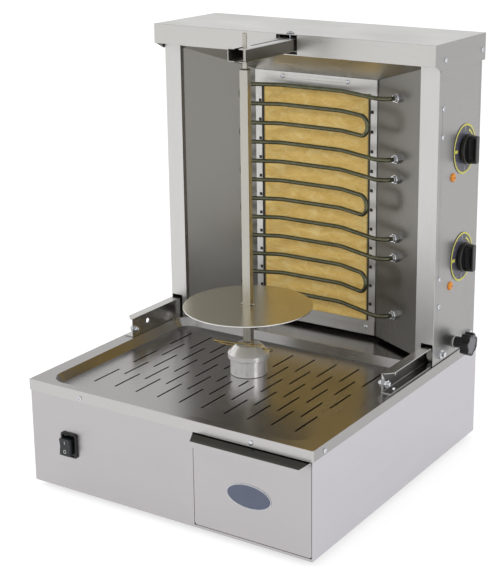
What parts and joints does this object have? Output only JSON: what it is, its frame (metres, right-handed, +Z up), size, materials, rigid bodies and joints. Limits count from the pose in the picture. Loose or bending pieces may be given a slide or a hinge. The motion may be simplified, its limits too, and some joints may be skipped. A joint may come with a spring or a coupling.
{
  "type": "vertical kebab grill",
  "caption": "Countertop vertical kebab grill: turning spit over a slotted drip tray with grease drawer, and a heating tower that slides on rails.",
  "frame": {"origin": "centre of the footprint of the whole machine on the surface it stands on", "axes": "+Z up, -Y towards the user at the front, +X to the user's right, where the controls are"},
  "size_m": [0.517, 0.5284, 0.66],
  "materials": {
    "brushed_sheet": "brushed stainless sheet",
    "tray_sheet": "stainless tray, satin to polished",
    "inner_sheet": "bright annealed stainless",
    "strip_steel": "light zinc-plated strip",
    "zinc_steel": "zinc-plated steel",
    "bar_steel": "satin stainless bar",
    "hub_aluminium": "turned and polished",
    "clip_brass": "yellow passivated spring wire",
    "heater_tube": "olive-grey oxidised sheath",
    "bright_nut": "bright plated",
    "refractory": "golden fibre board, matt",
    "black_plastic": "black moulded thermoset",
    "black_gloss": "black glossy key",
    "black_rubber": "soft black rubber",
    "dial_plate": "blue-grey plate with a yellow ring and ticks",
    "lamp_amber": "clear amber",
    "nylon": "white nylon",
    "motor_paint": "dark grey painted",
    "casing_inner": "mill-finish sheet"
  },
  "bodies": {
    "base": {"tray_lid": "tray_sheet", "casing": "brushed_sheet", "bottom_plate": "casing_inner", "rear_panel": "brushed_sheet", "feet": "black_rubber", "lid_screws": "bright_nut", "rear_screws": "bright_nut", "drawer_runners": "casing_inner", "bay_partition": "casing_inner", "grease_chute": "casing_inner", "gearmotor": "motor_paint", "motor_bracket": "zinc_steel", "shaft_bearing": "zinc_steel", "switch_body": "black_plastic", "switch_boot": "black_rubber", "terminal_block": "nylon", "cable_gland": "black_plastic", "rail_left": "tray_sheet", "rail_right": "tray_sheet", "rail_fasteners": "bright_nut"},
    "spit": {"output_shaft": "zinc_steel", "hub": "hub_aluminium", "spit_bar": "bar_steel", "meat_disc": "bar_steel", "disc_pins": "bar_steel"},
    "clip": {"hub_clip": "clip_brass"},
    "drawer": {"drawer_pan": "casing_inner", "drawer_front": "brushed_sheet"},
    "rocker": {"switch_rocker": "black_gloss"},
    "tower": {"side_panel_left": "brushed_sheet", "side_panel_right": "brushed_sheet", "splay_wall_left": "inner_sheet", "splay_wall_right": "inner_sheet", "heat_board": "refractory", "board_strips": "strip_steel", "board_brackets": "strip_steel", "board_backing": "casing_inner", "top_reflector": "inner_sheet", "tower_back": "brushed_sheet", "top_cover": "brushed_sheet", "tower_screws": "bright_nut", "terminal_nuts": "bright_nut", "pilot_lamps": "lamp_amber", "roller_bolts": "bright_nut", "clamp_nut": "zinc_steel", "arm_guide": "casing_inner", "dials": "dial_plate", "regulators": "black_plastic", "element_upper": "heater_tube", "element_middle": "heater_tube", "element_lower": "heater_tube"},
    "arm": {"arm": "brushed_sheet"},
    "ring_pin": {"ring_pin": "zinc_steel"},
    "clamp": {"clamp_knob": "black_plastic"},
    "knob_upper": {"knob_upper": "black_plastic"},
    "knob_lower": {"knob_lower": "black_plastic"},
    "roller_front_right": {"roller_front_right": "nylon"},
    "roller_back_right": {"roller_back_right": "nylon"},
    "roller_front_left": {"roller_front_left": "nylon"},
    "roller_back_left": {"roller_back_left": "nylon"}
  },
  "joints": [
    {"name": "spit_spin", "type": "hinge", "parent": "base", "child": "spit", "pos_m": [-0.01, -0.035, 0.21], "axis": [0, 0, 1], "continuous": true},
    {"name": "clip_pull", "type": "slide", "parent": "spit", "child": "clip", "axis": [-0.9816, -0.1908, 0], "range_m": [0, 0.075]},
    {"name": "tower_slide", "type": "slide", "parent": "base", "child": "tower", "axis": [0, -1, 0], "range_m": [0, 0.05]},
    {"name": "arm_slide", "type": "slide", "parent": "base", "child": "arm", "axis": [0, 1, 0], "range_m": [0, 0.028]},
    {"name": "pin_lift", "type": "slide", "parent": "tower", "child": "ring_pin", "axis": [0, 0, 1], "range_m": [0, 0.013]},
    {"name": "drawer_slide", "type": "slide", "parent": "base", "child": "drawer", "axis": [0, -1, 0], "range_m": [0, 0.3]},
    {"name": "rocker_tip", "type": "hinge", "parent": "base", "child": "rocker", "pos_m": [-0.179, -0.2432, 0.081], "axis": [1, 0, 0], "range_deg": [-18, 0]},
    {"name": "knob_upper_turn", "type": "hinge", "parent": "tower", "child": "knob_upper", "pos_m": [0.2295, 0.184, 0.4815], "axis": [1, 0, 0], "range_deg": [0, 270]},
    {"name": "knob_lower_turn", "type": "hinge", "parent": "tower", "child": "knob_lower", "pos_m": [0.2295, 0.184, 0.3165], "axis": [1, 0, 0], "range_deg": [0, 270]},
    {"name": "clamp_turn", "type": "hinge", "parent": "tower", "child": "clamp", "pos_m": [0.2295, 0.169, 0.186], "axis": [1, 0, 0], "range_deg": [0, 360]},
    {"name": "roller_front_right_roll", "type": "hinge", "parent": "tower", "child": "roller_front_right", "pos_m": [0.2195, 0.116, 0.183], "axis": [1, 0, 0], "range_deg": [0, 220]},
    {"name": "roller_back_right_roll", "type": "hinge", "parent": "tower", "child": "roller_back_right", "pos_m": [0.2195, 0.217, 0.183], "axis": [1, 0, 0], "range_deg": [0, 220]},
    {"name": "roller_front_left_roll", "type": "hinge", "parent": "tower", "child": "roller_front_left", "pos_m": [-0.2395, 0.116, 0.183], "axis": [1, 0, 0], "range_deg": [0, 220]},
    {"name": "roller_back_left_roll", "type": "hinge", "parent": "tower", "child": "roller_back_left", "pos_m": [-0.2395, 0.217, 0.183], "axis": [1, 0, 0], "range_deg": [0, 220]}
  ],
  "couplings": [
    {"joint": "roller_front_right_roll", "follows": "tower_slide", "rad_per_m": 75.758},
    {"joint": "roller_back_right_roll", "follows": "tower_slide", "rad_per_m": 75.758},
    {"joint": "roller_front_left_roll", "follows": "tower_slide", "rad_per_m": 75.758},
    {"joint": "roller_back_left_roll", "follows": "tower_slide", "rad_per_m": 75.758}
  ]
}
